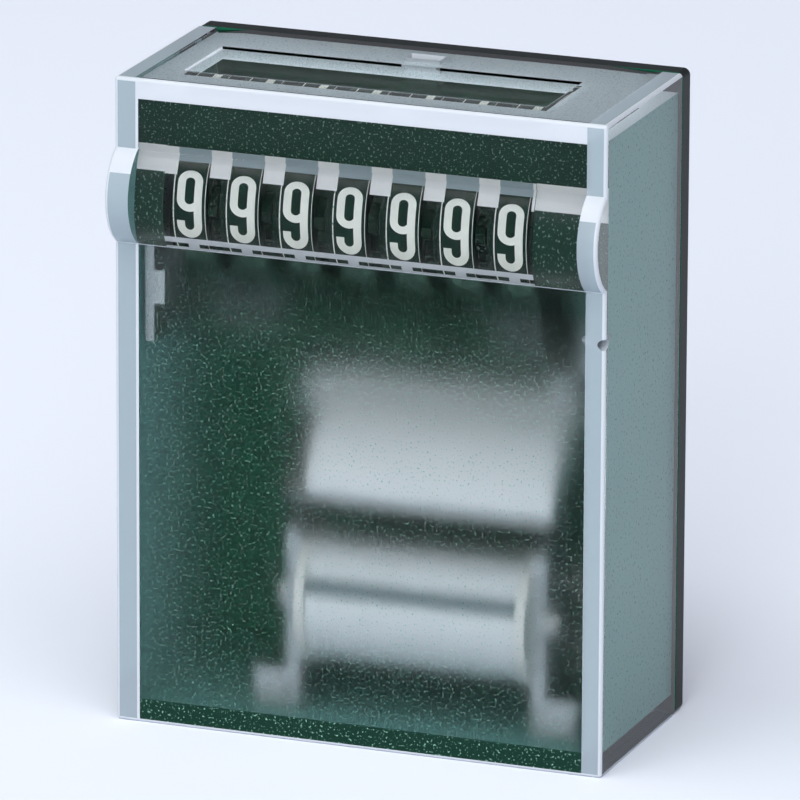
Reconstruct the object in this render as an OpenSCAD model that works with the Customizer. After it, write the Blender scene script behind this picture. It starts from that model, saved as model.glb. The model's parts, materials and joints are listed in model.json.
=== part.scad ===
// Seven-figure electromechanical counter in a clear moulded housing.
// Millimetres. X runs to the right, Y to the rear and Z up.
// The origin is under the middle of the whole object.
// Number wheels are counted from the right: wheel 1 shows units. At rest every wheel shows 9.

/* [Number wheels] */
// Distance from one number wheel to the next
wheel_pitch = 4.9; // [4.5:0.1:6]
// Width of a printed rim
rim_w = 3; // [2.6:0.1:3.3]
// Radius of a printed rim
rim_r = 7.5; // [6.5:0.1:8.5]
// Radius of a wheel hub
hub_r = 2.2; // [1.8:0.1:2.6]
// Radius of the steel axle under the number wheels
axle_r = 1; // [0.8:0.05:1.3]
// Radius of the steel axle under the transfer pinions
pinion_axle_r = 0.6; // [0.45:0.05:0.8]
// Gap from a printed rim to the pinion axle
axle_gap = 0.3; // [0.2:0.05:0.6]
// Radial clearance of each bore that turns on an axle
run_gap = 0.03; // [0.02:0.01:0.08]
// Angle below level, toward the rear, where the pinions meet the wheels
mesh_angle = 54; // [50:1:60]
// Clearance taken off each gear tooth
tooth_gap = 0.08; // [0.05:0.01:0.12]
// Sideways play between neighbouring turning pieces
side_play = 0.08; // [0.05:0.01:0.15]

/* [Ratchet drive] */
// Metal left between hub and ratchet tooth root
ratchet_wall = 0.4; // [0.3:0.05:0.8]
// Height of a ratchet tooth
ratchet_depth = 1; // [0.8:0.05:1.2]
// Width of the ratchet wheel
ratchet_w = 1.2; // [0.8:0.1:1.4]
// Thickness of the drive pawl and of the detent blade
blade_t = 0.2; // [0.15:0.05:0.3]
// Pawl travel past one full tooth
overtravel = 0.2; // [0.1:0.05:0.4]
// Height of the wheel axle over the rocker pin
lever_rise = 18.5; // [17:0.5:22]
// Width of the rocker's drive arm
arm_w = 1.6; // [1.4:0.1:1.8]

/* [Rocker] */
// Radius of the rocker pin
rocker_pin_r = 0.8; // [0.6:0.05:1]
// Plastic around the rocker pin
rocker_hub_wall = 1.1; // [0.9:0.1:1.5]
// Distance from the rocker pin to the front edge of the rocker
rocker_len = 12.3; // [12:0.1:13.6]
// Slope of the rocker below level, toward the front
rocker_tilt = 38; // [37:1:43]
// Extra thickness over the rocker's plain curve
rocker_skin = 0.8; // [0.5:0.1:1.2]
// Reach of the rocker past the outer face of the left pole leg, taken inward
rocker_inset = 1.9; // [1.4:0.1:3]
// Thickness of the armature plate
armature_t = 1.2; // [0.8:0.1:1.5]
// Air left between armature and pole legs when attracted
pole_gap = 0.1; // [0.05:0.05:0.3]

/* [Return spring] */
// Mean radius of the return spring
spring_r = 0.6; // [0.5:0.05:0.65]
// Radius of the spring wire
spring_wire_r = 0.15; // [0.1:0.01:0.2]
// Number of curls in the return spring
spring_curls = 7; // [5:1:8]

/* [Magnet] */
// Length of the bobbin over both flanges
coil_len = 21.3; // [18:0.1:23]
// Radius of a bobbin flange
flange_r = 5.9; // [5.2:0.1:6.4]
// Thickness of a bobbin flange
flange_t = 0.9; // [0.7:0.1:1.4]
// Height of the flange over the wrapped winding
flange_rim = 0.5; // [0.3:0.1:1]
// Thickness of the wrap over the winding
wrap_t = 0.2; // [0.1:0.05:0.4]
// Plastic of the bobbin around the core
bobbin_wall = 0.75; // [0.6:0.05:1.2]
// Radius of the steel core
core_r = 2; // [1.6:0.1:2.4]
// Radius of the core's riveted neck
neck_r = 1.3; // [1:0.1:1.5]
// Thickness of a pole leg
leg_t = 1.2; // [0.8:0.1:1.5]
// Depth of a pole leg, front to rear
leg_d = 6; // [5.4:0.1:6.6]
// Width of a turned-out foot
foot_w = 3; // [2.8:0.1:3.4]
// Height of a turned-out foot
foot_h = 3.4; // [3:0.1:4]
// Distance from the floor of the housing to the lower flange edge
floor_gap = 3.9; // [3.5:0.1:5]
// Distance from the top of the flange to the rocker pin
pivot_rise = 11.5; // [11:0.1:13]
// Distance from the coil axis back to the rocker pin
pivot_back = 6.6; // [6.2:0.1:7]

/* [Housing] */
// Wall thickness of the clear cover
wall = 1.8; // [1.4:0.1:2.4]
// Thickness of the base plate
base_t = 1.8; // [1.5:0.1:2.5]
// Rounding of the four long edges
corner_r = 0.6; // [0.3:0.1:1.2]
// Height of the lens bar
lens_h = 8.5; // [7:0.1:9.5]
// Bulge of the lens bar over the front face
lens_bulge = 2.4; // [1.5:0.1:3]
// Depth of the two polished window pads
window_step = 0.25; // [0.1:0.05:0.4]
// Front-to-rear size of the top window
window_d = 9; // [7:0.1:10]
// Gap between the front wall and the number wheels
front_gap = 0.6; // [0.4:0.1:1]
// Gap between the number wheels and the top wall
top_gap = 1.2; // [0.8:0.1:2]
// Gap between the deepest turning piece and the frame web
rear_gap = 0.66; // [0.4:0.02:1.2]
// Gap between the left cheek and the side wall
left_gap = 0.5; // [0.3:0.1:1]
// Gap between the right cheek and the side wall
right_gap = 1.3; // [1:0.1:2]
// Room between the seventh wheel and the left cheek
left_room = 2.1; // [1.5:0.1:3]
// Room between the first wheel and the right cheek
right_room = 3.5; // [3.4:0.1:4]
// Gap between the bobbin flange and the front wall
coil_gap = 0.5; // [0.3:0.1:0.8]
// Play between the base plate's lip and the cover
lip_play = 0.1; // [0.05:0.05:0.2]
// Width of a snap hook
hook_w = 3; // [2:0.1:5]
// Radius of the seal-wire hole
seal_r = 0.5; // [0.3:0.05:0.6]
// Height of the seal-wire hole
seal_z = 38.7; // [20:0.1:40]

/* [Frame] */
// Thickness of the frame's sheet steel
sheet_t = 0.8; // [0.6:0.1:1]
// Radial gap of a pressed or screwed pin in its hole
hole_gap = 0.02; // [0.01:0.01:0.05]

/* [Connections] */
// Distance between the two mounting holes
mount_pitch = 24; // [23:0.5:25]
// Radius of a mounting thread's core hole
mount_hole_r = 1.25; // [1:0.05:1.35]
// Outside radius of a threaded insert
insert_r = 2; // [1.8:0.1:2.2]
// Length of a threaded insert
insert_len = 4; // [3:0.1:4.2]
// Reach of the terminal blades behind the base plate
blade_out = 7; // [5:0.5:10]
// Width of a terminal blade
blade_w = 2.8; // [2.4:0.1:3]
// Thickness of a terminal blade
blade_thick = 0.5; // [0.4:0.1:0.8]
// Distance between the two terminal blades
blade_pitch = 6; // [5.4:0.1:6.6]

/* [Hidden] */
$fn = 64;
last = 7;
// Gearing: wheel of 20 teeth, pinion of 8
pressure = 25;
centre = rim_r + axle_gap + pinion_axle_r;
modul = centre / 14;
wheel_pr = 10 * modul;
pinion_pr = 4 * modul;
wheel_tip = 10.66 * modul;
wheel_root = 8.83 * modul;
pinion_tip = 4.83 * modul;
pinion_root = 2.7 * modul;
tooth_half = PI * modul / 4 - tooth_gap / 2;
face_w = (wheel_pitch - rim_w - 0.2) / 2;

// Across: cover, wheels, frame cheeks, magnet
left_reach = rim_w / 2 + left_room + sheet_t + left_gap;
right_reach = rim_w / 2 + right_room + sheet_t + right_gap;
cavity_w = (last - 1) * wheel_pitch + left_reach + right_reach;
cover_w = cavity_w + 2 * wall;
x_first = cavity_w / 2 - right_reach;
x_cheek_left = -cavity_w / 2 + left_gap;
x_cheek_right = cavity_w / 2 - right_gap - sheet_t;
x_ratchet = x_first + rim_w / 2 + 0.2;
x_arm = x_ratchet - (arm_w - ratchet_w) / 2;
x_coil_right = x_first + 1.2;
x_coil_left = x_coil_right - coil_len;
leg_play = 0.1;
x_leg_left = x_coil_left - leg_play - leg_t;
x_leg_right = x_coil_right + leg_play;
x_plate_left = x_leg_left - 0.2;
x_plate_right = x_leg_right + leg_t + 0.2;
x_rocker_left = x_leg_left + rocker_inset;
x_rocker_right = x_arm + arm_w;
ear_t = 1.4;
x_ear_left = x_plate_left - 0.3 - ear_t;
x_ear_right = x_rocker_right + 0.2;

// Front to rear
cavity_d = front_gap + rim_r + max(rim_r, centre * cos(mesh_angle) + pinion_tip) + rear_gap + sheet_t;
cover_d = wall + cavity_d;
y_lens = -(lens_bulge + cover_d + base_t + blade_out) / 2;
y_front = y_lens + lens_bulge;
y_in = y_front + wall;
y_seam = y_front + cover_d;
y_back = y_seam + base_t;
y_web = y_seam - sheet_t;
y_axle = y_in + front_gap + rim_r;
y_coil = y_in + coil_gap + flange_r;
y_pivot = y_coil + pivot_back;
y_leg = y_coil - leg_d / 2;

// Upward
z_coil = wall + floor_gap + flange_r;
z_pivot = z_coil + flange_r + pivot_rise;
z_axle = z_pivot + lever_rise;
cover_h = z_axle + rim_r + top_gap + wall;
y_pinion = y_axle + centre * cos(mesh_angle);
z_pinion = z_axle - centre * sin(mesh_angle);
z_foot = wall + 0.2;
z_post = z_foot + foot_h / 2;
z_mount = z_pivot + 5.6;

// Rocker and pawl: the pawl pushes along "push", square to the line from rocker pin to wheel axle
lean = atan2(z_axle - z_pivot, y_axle - y_pivot);
arm_reach = norm([y_axle - y_pivot, z_axle - z_pivot]);
ratchet_root = hub_r + ratchet_wall;
ratchet_tip = ratchet_root + ratchet_depth;
bite_r = ratchet_root + 0.6 * ratchet_depth;
stroke = 2 * bite_r * sin(18) + overtravel;
swing = 2 * atan(stroke / 2 / (arm_reach - bite_r));
pawl_s = bite_r * sin(18);
blade_run = ratchet_tip + 0.55;
blade_back = ratchet_tip + 1.9;
face_angle = lean + 180 + 20;
rocker_hub_r = rocker_pin_r + run_gap + rocker_hub_wall;
chord = 180 + rocker_tilt;
curve_r = rocker_len / (2 * sin(rocker_tilt));
curve_h = sqrt(pow(curve_r, 2) - pow(rocker_len / 2, 2));
lens_r = (pow(lens_h / 2, 2) + pow(lens_bulge, 2)) / (2 * lens_bulge);
spring_z = z_pivot + 6.6;
spring_front = y_pivot - 4.4;
spring_rear = y_web - 1;
loop_r = 0.6;
x_spring = x_arm + arm_w + spring_wire_r + 0.15 + spring_r;
// The steel arm stands on a stub of the rocker and reaches down into it with a tongue
z_stub = z_pivot + rocker_hub_r + 2.4;
tongue_d = 2;
tongue_w = 0.8;
tongue_edge = 0.6;
arm_low = drive_point(-blade_back, -blade_run - blade_t, 0);
arm_foot_front = [y_pivot - 1.2, z_pivot];
arm_foot_rear = [y_pivot + 1.2, z_pivot];
// Depth at height z of a straight edge from point a to point b
function slant(a, b, z) = a[0] + (z - a[1]) * (b[0] - a[0]) / (b[1] - a[1]);
// The rest buffer stops just short of the arm's rear edge
arm_top = drive_point(-blade_back + 2.2, -blade_run - blade_t, 0);
buffer_y = y_pivot + 1.2 + (arm_top[0] - y_pivot - 1.2) * 3.2 / (arm_top[1] - z_pivot) + 0.05;
buffer_seat = buffer_y + 1.5;
x_post_left = x_leg_left - foot_w / 2;
x_post_right = x_leg_right + leg_t + foot_w / 2;
x_blade = x_post_right + 0.7;
clip_w = 0.4;
// Depth that a post, rib or disc runs into the piece it stands on
bond = 0.5;

// Places a flat outline, drawn as (rear, up), upright and runs it to the right from x
module across(x) {
  translate([x, 0, 0])
    rotate([90, 0, 90])
      children();
}

// A round bar along X
module bar_x(x, y, z, length, r) {
  across(x)
    translate([y, z, 0])
      cylinder(h = length, r = r);
}

// A round bar toward the rear
module bar_y(x, y, z, length, r) {
  translate([x, y, z])
    rotate([-90, 0, 0])
      cylinder(h = length, r = r);
}

// A box given by its low corner and its size
module box(x, y, z, size_x, size_y, size_z) {
  translate([x, y, z])
    cube([size_x, size_y, size_z]);
}

// A rectangle with round corners
module soft_rect(w, h, r) {
  translate([-w / 2 + r, 0])
    square([w - 2 * r, h]);
  translate([-w / 2, r])
    square([w, h - 2 * r]);
  for (x = [-w / 2 + r, w / 2 - r], y = [r, h - r])
    translate([x, y])
      circle(r = r);
}

// A slab with the housing's outline, from y toward the rear
module slab(y, depth) {
  translate([0, y + depth, 0])
    rotate([90, 0, 0])
      linear_extrude(depth)
        soft_rect(cover_w, cover_h, corner_r);
}

function polar(r, a) = [r * cos(a), r * sin(a)];
function involute(a) = tan(a) * 180 / PI - a;
// Half the angle that a tooth takes up at radius r
function tooth_angle(r, pitch_r) = tooth_half / pitch_r * 180 / PI + involute(pressure)
  - involute(acos(min(1, pitch_r * cos(pressure) / max(r, pitch_r * cos(pressure)))));
function tooth_radii(root, tip, pitch_r) = [root, max(root + 0.01, pitch_r * cos(pressure)), pitch_r, tip];
function one_tooth(a, radii, pitch_r) = concat(
  [for (i = [0:3]) polar(radii[i], a - tooth_angle(radii[i], pitch_r))],
  [for (i = [3:-1:0]) polar(radii[i], a + tooth_angle(radii[i], pitch_r))]);

// Outline of a gear with teeth at the given angles
module gear(angles, root, tip, pitch_r) {
  radii = tooth_radii(root, tip, pitch_r);
  circle(r = root + 0.005);
  polygon([for (a = angles) each one_tooth(a, radii, pitch_r)]);
}

// The one tooth space in a carry disc, open toward the rim
module carry_notch(a) {
  radii = concat(tooth_radii(wheel_root, wheel_tip, wheel_pr), [rim_r]);
  polygon(concat(
    [for (r = radii) polar(r, a - 9 + tooth_angle(min(r, wheel_tip), wheel_pr))],
    [for (i = [len(radii) - 1:-1:0]) polar(radii[i], a + 9 - tooth_angle(min(radii[i], wheel_tip), wheel_pr))]));
}

// Tube along a path; each ring is given by its centre, its direction and a sideways vector
module wire(rings, r, sides) {
  count = len(rings);
  points = [for (ring = rings, k = [0:sides - 1])
    ring[0] + r * cos(360 * k / sides) * ring[2] + r * sin(360 * k / sides) * cross(ring[1], ring[2])];
  skin = [for (i = [0:count - 2], k = [0:sides - 1]) let (n = (k + 1) % sides, low = i * sides, high = low + sides)
    each [[low + n, low + k, high + k], [low + n, high + k, high + n]]];
  polyhedron(points, concat(skin, [[for (k = [0:sides - 1]) k]],
    [[for (k = [sides - 1:-1:0]) (count - 1) * sides + k]]));
}

function unit(v) = v / norm(v);
// Rings of a smooth lead bent toward point b on its way from a to c
function lead_rings(a, b, c, steps) = [for (i = [0:steps]) let (
    t = i / steps,
    d = unit(2 * (1 - t) * (b - a) + 2 * t * (c - b)))
  [pow(1 - t, 2) * a + 2 * t * (1 - t) * b + t * t * c, d, unit(cross(d, [0, 0, 1]))]];

// A point near the ratchet: s along the push of the pawl, t out from the axle, turned by "turn"
function drive_point(s, t, turn) = [y_axle, z_axle] + s * polar(1, lean - 90 + turn) + t * polar(1, lean + turn);

// A sprung blade with its turned-up tip, in front of a ratchet tooth
module blade(turn) {
  across(x_ratchet)
    linear_extrude(ratchet_w)
      polygon([
        drive_point(-blade_back, -blade_run, turn),
        drive_point(-blade_back, -blade_run - blade_t, turn),
        drive_point(pawl_s, -blade_run - blade_t, turn),
        drive_point(pawl_s, -bite_r + 0.15, turn),
        drive_point(pawl_s - blade_t, -bite_r + 0.15, turn),
        drive_point(pawl_s - blade_t, -blade_run, turn)]);
}

// A rivet holding a blade: a head over the blade and a shank away from the ratchet
module blade_rivet(turn, grow, shank) {
  foot = drive_point(-blade_back + 1.1, -blade_run, turn);
  translate([x_ratchet + ratchet_w / 2, foot[0], foot[1]])
    rotate([lean + turn - 90, 0, 0]) {
      if (grow == 0)
        cylinder(h = 0.35, r = 0.55);
      translate([0, 0, -shank - grow])
        cylinder(h = shank + grow + 0.1, r = 0.35 + grow);
    }
}

// A screw toward the rear with a slotted round head; head_y is where the head meets its seat
module screw(x, head_y, z, head_r, head_h, shank_r, shank) {
  difference() {
    bar_y(x, head_y - head_h, z, head_h, head_r);
    box(x - head_r, head_y - head_h - 0.1, z - 0.15, 2 * head_r, 0.1 + head_h / 2, 0.3);
  }
  bar_y(x, head_y - head_h / 4, z, shank + head_h / 4, shank_r);
}

function wheel_x(i) = x_first - (i - 1) * wheel_pitch;

// A number wheel: rim, gear on its right, carry disc with one notch on its left, hub
module number_wheel(i) {
  hub_left = i == last ? rim_w / 2 + left_room - 0.2 : (wheel_pitch - side_play) / 2;
  hub_right = i == 1 ? rim_w / 2 + right_room - 0.2 : (wheel_pitch - side_play) / 2;
  across(wheel_x(i))
    translate([y_axle, z_axle, 0])
      difference() {
        union() {
          translate([0, 0, -rim_w / 2])
            cylinder(h = rim_w, r = rim_r);
          translate([0, 0, -hub_left])
            cylinder(h = hub_left + hub_right, r = hub_r);
          if (i > 1)
            translate([0, 0, rim_w / 2 - bond])
              linear_extrude(face_w + bond)
                gear([for (k = [0:19]) -mesh_angle + 9 + 18 * k], wheel_root, wheel_tip, wheel_pr);
          if (i < last)
            translate([0, 0, -rim_w / 2 - face_w])
              linear_extrude(face_w + bond)
                difference() {
                  circle(r = wheel_tip);
                  carry_notch(-mesh_angle - 18);
                }
        }
        translate([0, 0, -hub_left - 1])
          cylinder(h = hub_left + hub_right + 2, r = axle_r + run_gap);
        if (i > 1)
          translate([0, 0, rim_w / 2 - 0.6])
            difference() {
              cylinder(h = face_w + 1, r = wheel_root - 0.7);
              translate([0, 0, -1])
                cylinder(h = face_w + 3, r = hub_r);
            }
      }
}

// A transfer pinion between wheel i and wheel i + 1
// It has eight teeth on the left and every second one on the right
module transfer_pinion(i) {
  gap_w = wheel_pitch - rim_w;
  full_w = gap_w - face_w - 0.1 - side_play;
  carry_w = face_w + 0.1 - side_play;
  color("white")
    across(wheel_x(i + 1) + rim_w / 2 + side_play)
      translate([y_pinion, z_pinion, 0])
        difference() {
          union() {
            linear_extrude(full_w)
              gear([for (k = [0:7]) 180 - mesh_angle + 45 * k], pinion_root, pinion_tip, pinion_pr);
            translate([0, 0, full_w])
              linear_extrude(carry_w)
                gear([for (k = [0:3]) 225 - mesh_angle + 90 * k], pinion_root, pinion_tip, pinion_pr);
          }
          translate([0, 0, -1])
            cylinder(h = gap_w + 2, r = pinion_axle_r + run_gap);
        }
}

module ratchet_wheel() {
  color("silver")
    across(x_ratchet)
      translate([y_axle, z_axle, 0])
        linear_extrude(ratchet_w)
          difference() {
            polygon([for (k = [0:9]) each [
              polar(ratchet_root, face_angle + 36 * k),
              polar(ratchet_tip, face_angle + 36 * k),
              polar(ratchet_root + 0.35 * ratchet_depth, face_angle + 24 + 36 * k)]]);
            circle(r = hub_r + hole_gap);
          }
}

module clear_cover() {
  slot_y = y_seam - 3.9;
  color("lightblue", 0.5)
    difference() {
      union() {
        slab(y_front, cover_d);
        intersection() {
          bar_x(-cover_w / 2, y_lens + lens_r, z_axle, cover_w, lens_r);
          box(-cover_w, y_lens - 1, 0, 2 * cover_w, lens_bulge + 1.5, cover_h);
        }
      }
      box(-cavity_w / 2, y_in, wall, cavity_w, cavity_d + 1, cover_h - 2 * wall);
      box(wheel_x(last) - rim_w / 2 - 0.7, y_in - window_step, z_axle - lens_h / 2 - 0.3,
        (last - 1) * wheel_pitch + rim_w + 1.4, 1, lens_h + 0.6);
      box(wheel_x(last) - rim_w / 2 - 0.4, y_front + 4, cover_h - window_step,
        (last - 1) * wheel_pitch + rim_w + 0.8, window_d, 1);
      for (z = [-1, cover_h - wall - 1])
        box(-hook_w / 2 - lip_play, slot_y, z, hook_w + 2 * lip_play, 1.6, wall + 2);
      translate([cover_w / 2 - 0.71, y_front + 0.71, seal_z])
        rotate([0, 90, 45])
          cylinder(h = 6, r = seal_r, center = true);
    }
}

// A snap hook reaching forward from the base plate; "up" is 1 for the top hook and -1 for the bottom one
module snap_hook(up) {
  z_wall = up > 0 ? cover_h - wall : wall;
  translate([0, 0, z_wall])
    mirror([0, 0, up > 0 ? 0 : 1])
      across(-hook_w / 2)
        linear_extrude(hook_w)
          polygon([
            [y_seam + bond, -lip_play],
            [y_seam - 2.4, -lip_play],
            [y_seam - 2.4, 0.9],
            [y_seam - 2.9, 0.9],
            [y_seam - 3.8, -lip_play],
            [y_seam - 3.8, -lip_play - 1.1],
            [y_seam + bond, -lip_play - 1.1]]);
}

// A perforated ear that carries the rocker pin
module pin_ear(x) {
  across(x)
    linear_extrude(ear_t)
      difference() {
        union() {
          translate([y_pivot, z_pivot])
            circle(r = rocker_hub_r);
          translate([y_pivot, z_pivot - rocker_hub_r])
            square([y_seam + bond - y_pivot, 2 * rocker_hub_r]);
        }
        translate([y_pivot, z_pivot])
          circle(r = rocker_pin_r + hole_gap);
      }
}

module base_plate() {
  boss_front = y_back - insert_len - 0.5;
  lip_d = 1.5;
  lip_t = 1.2;
  lip_w = 0.29 * cavity_w;
  top_z = cover_h - wall - lip_play - lip_t;
  color("dimgray")
    difference() {
      union() {
        slab(y_seam, base_t);
        snap_hook(1);
        snap_hook(-1);
        for (side = [-1, 1], z = [wall + lip_play, top_z])
          box(side * cavity_w / 4 - lip_w / 2, y_seam - lip_d, z, lip_w, lip_d + bond, lip_t);
        for (x = [-cavity_w / 2 + lip_play, cavity_w / 2 - lip_play - lip_t])
          box(x, y_seam - lip_d, 6, lip_t, lip_d + bond, z_pivot - 9);
        for (z = [z_mount, z_mount - mount_pitch])
          bar_y(0, boss_front, z, y_seam + bond - boss_front, insert_r + 1);
        for (x = [x_post_left, x_post_right])
          bar_y(x, y_leg + leg_t, z_post, y_seam + bond - y_leg - leg_t, 1.3);
        pin_ear(x_ear_left);
        pin_ear(x_ear_right);
        bar_y(x_arm + arm_w / 2, buffer_seat, z_pivot + 4.2, y_seam + bond - buffer_seat, 1.1);
      }
      for (z = [z_mount, z_mount - mount_pitch])
        bar_y(0, y_back - insert_len, z, insert_len + 1, insert_r + hole_gap);
      for (x = [x_post_left, x_post_right])
        bar_y(x, y_leg + leg_t - 1, z_post, 7, 0.7 + hole_gap);
      for (z = [z_coil - 3.4, z_coil - 3.4 + blade_pitch])
        box(x_blade - blade_thick / 2 - 0.05, y_seam - 1, z - blade_w / 2 - 0.05,
          blade_thick + 0.1, base_t + 2, blade_w + 0.1);
      for (x = [wheel_x(7) + 1, wheel_x(2) + 2.6])
        bar_y(x, y_seam - 1, z_pinion - 4.7, 2.4, 0.7 + hole_gap);
      bar_y(x_arm + arm_w / 2, buffer_y, z_pivot + 4.2, 3, 0.5 + hole_gap);
      box(-cavity_w / 2 + 4, y_back - 0.4, z_mount + 6.5, cavity_w - 8, 1, 11);
    }
}

module mounting_inserts() {
  color("gold")
    for (z = [z_mount, z_mount - mount_pitch])
      difference() {
        bar_y(0, y_back - insert_len, z, insert_len, insert_r);
        bar_y(0, y_back - insert_len - 1, z, insert_len + 2, mount_hole_r);
      }
}

// A terminal blade with a shoulder inside the housing
module terminal(z) {
  color("silver")
    difference() {
      union() {
        box(x_blade - blade_thick / 2, y_pivot - 2, z - blade_w / 2,
          blade_thick, y_back + blade_out - y_pivot + 2, blade_w);
        box(x_blade - blade_thick / 2, y_seam - 1.4, z - blade_w / 2 - 0.5, blade_thick, 1.4, blade_w + 1);
      }
      bar_x(x_blade - blade_thick, y_back + blade_out - 2.5, z, 2 * blade_thick, 0.6);
    }
}

module terminal_upper() {
  terminal(z_coil - 3.4 + blade_pitch);
}

module terminal_lower() {
  terminal(z_coil - 3.4);
}

tag_y = y_coil + 0.68 * flange_r;
tag_end = x_leg_right + leg_t + 0.4;
tag_rise = [-1.6, 3.2];

module coil_tags() {
  color("silver")
    for (dz = tag_rise)
      bar_x(x_coil_right - 0.7, tag_y, z_coil + dz, tag_end - x_coil_right + 0.7, 0.35);
}

module coil_leads() {
  lead_r = 0.3;
  x_end = x_blade - blade_thick / 2 - lead_r - 0.02;
  color("firebrick")
    for (i = [0, 1]) {
      z_tag = z_coil + tag_rise[i];
      z_end = z_coil - 3.4 + i * blade_pitch;
      wire(lead_rings([tag_end + 0.02, tag_y, z_tag], [x_end, tag_y, z_tag], [x_end, y_pivot - 0.6, z_end], 10),
        lead_r, 8);
    }
}

// A cheek of the frame from y_front_edge to the web, with the two axle holes
module cheek(x, y_front_edge) {
  across(x)
    linear_extrude(sheet_t)
      difference() {
        translate([y_front_edge, z_pinion - 6.4])
          square([y_seam - y_front_edge, z_axle - z_pinion + 12]);
        translate([y_axle, z_axle])
          circle(r = axle_r + hole_gap);
        translate([y_pinion, z_pinion])
          circle(r = pinion_axle_r + hole_gap);
      }
}

module movement_frame() {
  web_z = z_pinion - 2.4;
  tab_z = z_pinion - 6.4;
  lug_near = drive_point(-blade_back, -blade_run - blade_t, 108);
  lug_far = drive_point(-blade_back + 2.2, -blade_run - blade_t, 108);
  color("gainsboro")
    difference() {
      union() {
        cheek(x_cheek_left, y_in + 0.4);
        cheek(x_cheek_right, y_axle - 2.4);
        box(x_cheek_left, y_web, web_z,
          x_cheek_right - x_cheek_left + sheet_t, sheet_t, z_axle + 5.6 - z_pinion + 2.4);
        for (x = [wheel_x(7) + 1, wheel_x(2) + 2.6])
          box(x - 2.3, y_web, tab_z, 4.6, sheet_t, 5);
        box(x_cheek_left, y_in + 0.4, z_pinion - 3, 1.8, sheet_t, 3);
        across(x_ratchet)
          linear_extrude(ratchet_w)
            polygon([lug_far, lug_near, [y_seam, lug_near[1]], [y_seam, lug_far[1]]]);
        bar_x(x_spring - spring_r - 0.4, spring_rear, spring_z, x_cheek_right - x_spring + spring_r + 0.6, 0.3);
      }
      for (x = [wheel_x(7) + 1, wheel_x(2) + 2.6])
        bar_y(x, y_web - 1, z_pinion - 4.7, 3, 0.7 + hole_gap);
      blade_rivet(108, hole_gap, 1.4);
    }
}

module frame_screws() {
  color("silver")
    for (x = [wheel_x(7) + 1, wheel_x(2) + 2.6])
      screw(x, y_web, z_pinion - 4.7, 1.4, 0.8, 0.7, sheet_t + 1.2);
}

module wheel_axle() {
  color("silver")
    bar_x(x_cheek_left - clip_w, y_axle, z_axle, x_cheek_right - x_cheek_left + sheet_t + 2 * clip_w, axle_r);
}

module pinion_axle() {
  color("silver")
    bar_x(x_cheek_left - clip_w, y_pinion, z_pinion,
      x_cheek_right - x_cheek_left + sheet_t + 2 * clip_w, pinion_axle_r);
}

// A ring clip outside a cheek
module axle_clip(x, y, z, r) {
  difference() {
    bar_x(x, y, z, clip_w, r + 0.8);
    bar_x(x - 1, y, z, clip_w + 2, r + hole_gap);
    box(x - 1, y - 0.35, z - r - 2, clip_w + 2, 0.7, r + 2);
  }
}

module axle_clips() {
  color("silver")
    for (x = [x_cheek_left - clip_w, x_cheek_right + sheet_t]) {
      axle_clip(x, y_axle, z_axle, axle_r);
      axle_clip(x, y_pinion, z_pinion, pinion_axle_r);
    }
}

// Places a flat outline drawn along the rocker: x from pin to front edge, y toward the pole legs
module along_rocker(x, width) {
  across(x)
    translate([y_pivot, z_pivot, 0])
      rotate([0, 0, chord])
        linear_extrude(width)
          children();
}

// Outline of the drive arm, from the rocker pin up to the pawl
module arm_blank() {
  across(x_arm)
    linear_extrude(arm_w)
      polygon([arm_low, arm_foot_front, arm_foot_rear, arm_top]);
}

// The arm's tongue in the rocker's stub, slanted like the arm
module tongue(grow) {
  z0 = z_stub - tongue_d - grow;
  z1 = z_stub + bond;
  inset = tongue_edge - grow;
  across(x_arm + (arm_w - tongue_w) / 2 - grow)
    linear_extrude(tongue_w + 2 * grow)
      polygon([
        [slant(arm_foot_front, arm_low, z0) + inset, z0],
        [slant(arm_foot_rear, arm_top, z0) - inset, z0],
        [slant(arm_foot_rear, arm_top, z1) - inset, z1],
        [slant(arm_foot_front, arm_low, z1) + inset, z1]]);
}

rivet_places = [x_rocker_left + 5, x_rocker_right - 7];

// A bar square to the armature plate, from depth y0 to y1 along the way to the pole legs
module plate_pin(x, y0, y1, r) {
  translate([x, y_pivot, z_pivot])
    rotate([chord, 0, 0])
      translate([0, 0.58 * rocker_len, y0])
        cylinder(h = y1 - y0, r = r);
}

module rocker() {
  color("white")
    difference() {
      union() {
        along_rocker(x_rocker_left, x_rocker_right - x_rocker_left)
          intersection() {
            translate([rocker_len / 2, curve_h])
              circle(r = curve_r + rocker_skin);
            translate([0, -curve_r])
              square([rocker_len, curve_r]);
          }
        bar_x(x_plate_left, y_pivot, z_pivot, x_rocker_right - x_plate_left, rocker_hub_r);
        intersection() {
          arm_blank();
          box(x_arm - 1, y_pivot - 5, z_pivot - 1, arm_w + 2, 10, z_stub - z_pivot + 1);
        }
      }
      bar_x(x_plate_left - 1, y_pivot, z_pivot, x_rocker_right - x_plate_left + 2, rocker_pin_r + run_gap);
      for (x = rivet_places)
        plate_pin(x, -1.6, 1, 0.6 + hole_gap);
      tongue(hole_gap);
    }
}

module drive_arm() {
  color("dimgray") {
    difference() {
      union() {
        intersection() {
          arm_blank();
          box(x_arm - 1, y_axle - 20, z_stub, arm_w + 2, 40, cover_h);
        }
        bar_x(x_arm + arm_w - 0.2, spring_front, spring_z, 2 * spring_wire_r + 0.6, 0.3);
      }
      blade_rivet(0, hole_gap, 1.4);
    }
    tongue(0);
  }
}

module armature_plate() {
  color("silver")
    difference() {
      along_rocker(x_plate_left, x_plate_right - x_plate_left)
        translate([rocker_hub_r + 0.5, 0])
          square([rocker_len - rocker_hub_r - 0.5, armature_t]);
      for (x = rivet_places)
        plate_pin(x, -1, armature_t + 1, 0.6 + hole_gap);
    }
}

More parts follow.
